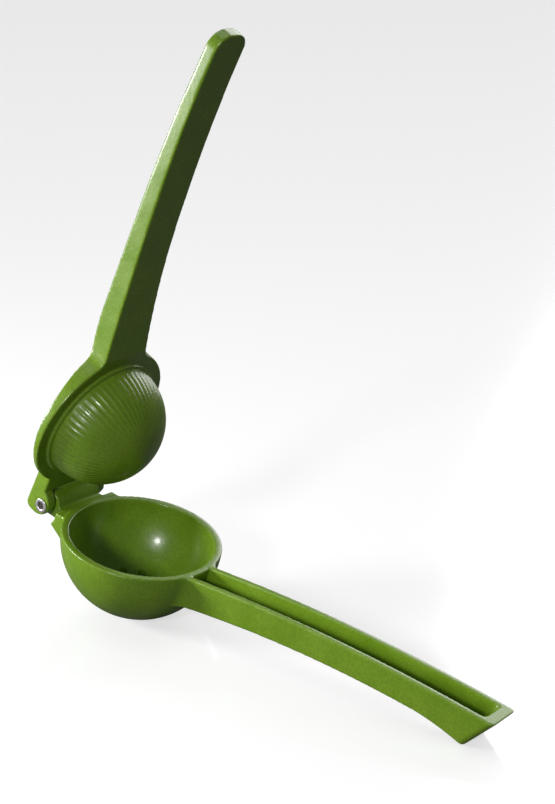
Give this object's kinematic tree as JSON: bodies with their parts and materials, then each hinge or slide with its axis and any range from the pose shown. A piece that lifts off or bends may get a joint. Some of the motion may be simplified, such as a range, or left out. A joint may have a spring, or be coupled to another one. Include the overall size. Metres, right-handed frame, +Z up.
{
  "type": "citrus press juicer",
  "caption": "Hand citrus squeezer: a domed press on a bar handle hinges over a strainer cup on a channelled handle, standing open on its cup and the tip of its lower handle.",
  "frame": {"origin": "centre of the flat under the cup, which rests on the table", "axes": "+Z up from the table, +X along the lower handle away from the cup, +Y across the squeezer, along the hinge axis"},
  "size_m": [0.2271, 0.0672, 0.2437],
  "materials": {
    "enamel": "glossy",
    "rivet": "polished"
  },
  "bodies": {
    "lower": {"lower_casting": "enamel"},
    "upper": {"upper_casting": "enamel", "hinge_pin": "rivet"}
  },
  "joints": [
    {"name": "press_hinge", "type": "hinge", "parent": "lower", "child": "upper", "pos_m": [-0.04174, 0, 0.04176], "axis": [0, 1, 0], "range_deg": [-60, 73]}
  ]
}
